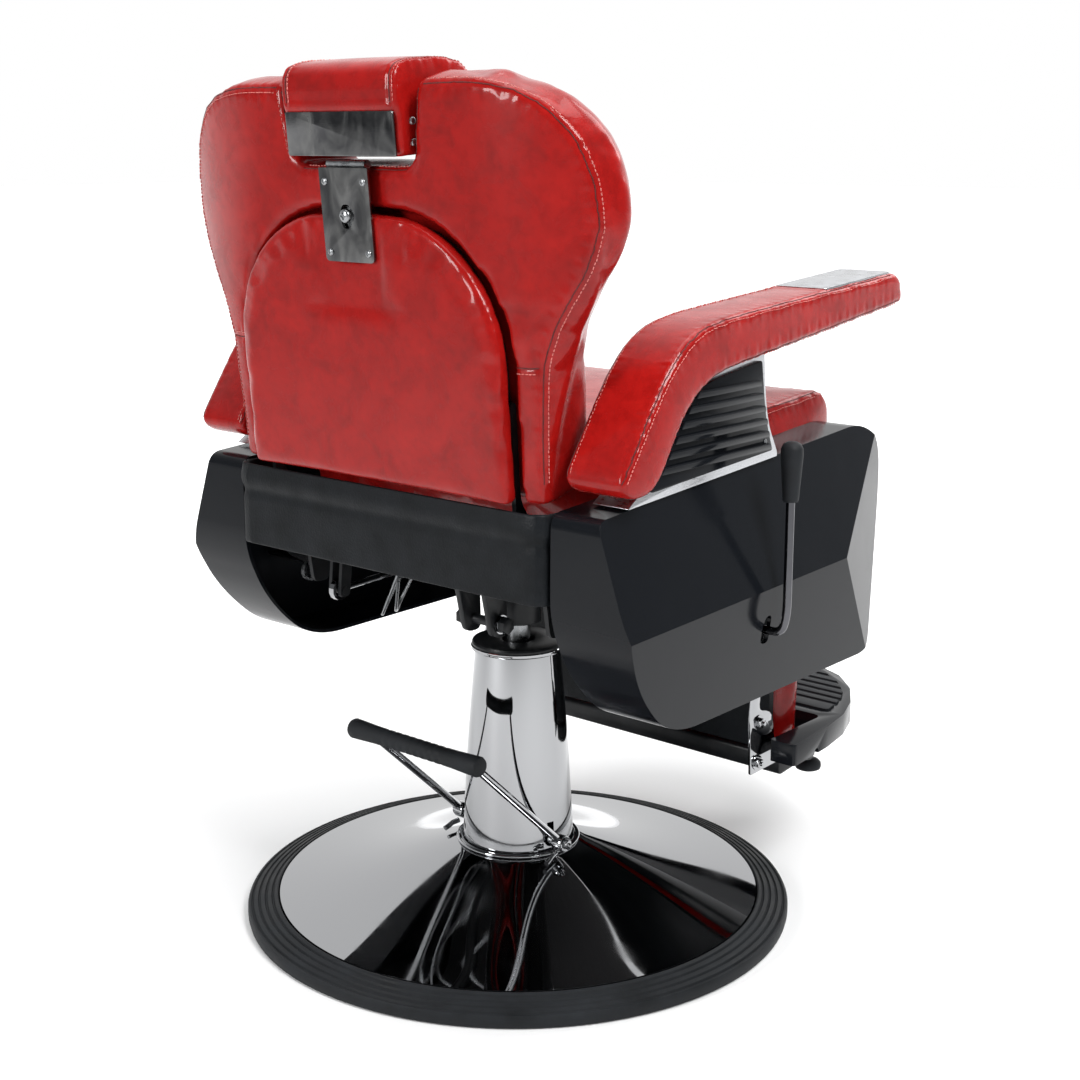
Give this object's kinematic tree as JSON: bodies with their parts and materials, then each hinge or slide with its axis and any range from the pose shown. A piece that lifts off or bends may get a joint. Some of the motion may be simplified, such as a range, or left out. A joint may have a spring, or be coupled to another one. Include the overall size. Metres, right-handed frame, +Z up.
{
  "type": "hydraulic barber chair",
  "caption": "Hydraulic barber chair with a round base, a reclining padded back, a sliding headrest, padded armrests, side panels, a swing-up calf pad and a footrest.",
  "frame": {"origin": "the pump column's axis on the floor, at the middle of the base's underside", "axes": "+Z up, +Y to the rear of the chair, +X to the sitter's left hand; the sitter faces -Y"},
  "size_m": [0.744, 0.898, 1.0574],
  "materials": {
    "chrome": "mirror chrome plate",
    "polished_steel": "polished stainless sheet with light handling marks",
    "bare_steel": "bright machined steel",
    "alloy": "satin cast alloy",
    "black_steel": "black powder coat",
    "gloss_black": "gloss black moulded shell",
    "ring_rubber": "dark grey ribbed rubber",
    "red_leather": "glossy mottled red upholstery with pale top stitching",
    "black_leather": "grained matt black upholstery",
    "dust_cover": "board wrapped in black non-woven dust cover"
  },
  "bodies": {
    "base": {"base_rubber_ring": "ring_rubber", "base_dome": "chrome", "base_weight_plate": "black_steel", "pump_cylinder": "bare_steel", "base_collar": "chrome", "column_sleeve": "chrome", "sleeve_cap": "black_steel"},
    "lift": {"pump_ram": "bare_steel"},
    "seat": {"swivel_hub": "black_steel", "mount_plate": "black_steel", "frame_rail_left": "black_steel", "frame_rail_right": "black_steel", "cross_tube_front": "black_steel", "cross_tube_rear": "black_steel", "side_panel_left": "gloss_black", "side_panel_right": "gloss_black", "armrest_pad_left": "red_leather", "armrest_pad_right": "red_leather", "armrest_plate_left": "polished_steel", "armrest_plate_right": "polished_steel", "armrest_support_left": "alloy", "armrest_support_right": "alloy", "armrest_insert_left": "gloss_black", "armrest_insert_right": "gloss_black", "seat_cushion": "red_leather", "seat_board": "dust_cover", "back_hinge_pin_left": "chrome", "back_hinge_pin_right": "chrome"},
    "pump_lever": {"pump_lever": "chrome", "pump_lever_shaft": "bare_steel", "pump_lever_grip": "ring_rubber"},
    "recline_lever": {"recline_lever": "black_steel", "recline_lever_grip": "ring_rubber"},
    "strut_tube": {"strut_tube": "black_steel"},
    "strut_rod": {"strut_rod": "chrome"},
    "leg_links": {"leg_link_left": "bare_steel", "leg_link_right": "bare_steel"},
    "backrest": {"back_cushion": "red_leather", "back_cover": "red_leather", "back_board": "dust_cover", "back_arm_left": "black_steel", "back_arm_right": "black_steel", "back_crank": "black_steel", "back_apron": "black_leather", "headrest_guide": "chrome", "headrest_catch": "chrome"},
    "headrest_slide": {"headrest_bar": "bare_steel"},
    "headrest": {"headrest_pad": "red_leather", "headrest_plate": "polished_steel"},
    "legrest": {"calf_pad": "red_leather", "calf_board": "black_leather", "calf_plate_left": "chrome", "calf_plate_right": "chrome", "calf_beam": "black_steel"},
    "footrest": {"footrest_platform": "gloss_black", "footrest_mat": "ring_rubber", "footrest_bolt_left": "chrome", "footrest_bolt_right": "chrome", "levelling_foot_left": "ring_rubber", "levelling_foot_right": "ring_rubber"}
  },
  "joints": [
    {"name": "seat_lift", "type": "slide", "parent": "base", "child": "lift", "axis": [0, 0, 1], "range_m": [0, 0.15]},
    {"name": "seat_swivel", "type": "hinge", "parent": "lift", "child": "seat", "pos_m": [0, 0, 0.4], "axis": [0, 0, 1], "continuous": true},
    {"name": "pump_lever_press", "type": "hinge", "parent": "base", "child": "pump_lever", "pos_m": [0, 0.015, 0.105], "axis": [-1, 0, 0], "range_deg": [0, 20], "stiffness_Nm_per_rad": 15, "springref_deg": -22.92},
    {"name": "back_recline", "type": "hinge", "parent": "seat", "child": "backrest", "pos_m": [0, 0.155, 0.475], "axis": [-1, 0, 0], "range_deg": [0, 45]},
    {"name": "legrest_swing", "type": "hinge", "parent": "seat", "child": "legrest", "pos_m": [0, -0.285, 0.445], "axis": [-1, 0, 0], "range_deg": [0, 60.1]},
    {"name": "leg_link_push", "type": "slide", "parent": "seat", "child": "leg_links", "axis": [0, -0.8964, 0.4432], "range_m": [0, 0.0301]},
    {"name": "strut_tube_turn", "type": "hinge", "parent": "seat", "child": "strut_tube", "pos_m": [0.15, -0.09, 0.436], "axis": [1, 0, 0], "range_deg": [0, 1.6]},
    {"name": "strut_rod_travel", "type": "slide", "parent": "strut_tube", "child": "strut_rod", "axis": [0, -0.9991, 0.0431], "range_m": [0, 0.0386]},
    {"name": "recline_lever_pull", "type": "hinge", "parent": "seat", "child": "recline_lever", "pos_m": [-0.35, -0.038, 0.422], "axis": [-1, 0, 0], "range_deg": [0, 20], "stiffness_Nm_per_rad": 1.5, "springref_deg": -17.19},
    {"name": "footrest_tilt", "type": "hinge", "parent": "legrest", "child": "footrest", "pos_m": [0, -0.283, 0.188], "axis": [-1, 0, 0], "range_deg": [0, 30]},
    {"name": "headrest_height", "type": "slide", "parent": "backrest", "child": "headrest_slide", "axis": [0, 0.0877, 0.9961], "range_m": [0, 0.05]},
    {"name": "headrest_tilt", "type": "hinge", "parent": "headrest_slide", "child": "headrest", "pos_m": [0, 0.27205, 0.9442], "axis": [-1, 0, 0], "range_deg": [0, 25]}
  ],
  "couplings": [
    {"joint": "legrest_swing", "follows": "back_recline", "ratio": 1.3333},
    {"joint": "leg_link_push", "follows": "back_recline", "m_per_rad": 0.0382},
    {"joint": "strut_tube_turn", "follows": "back_recline", "ratio": 0.03474},
    {"joint": "strut_rod_travel", "follows": "back_recline", "m_per_rad": 0.04901}
  ]
}
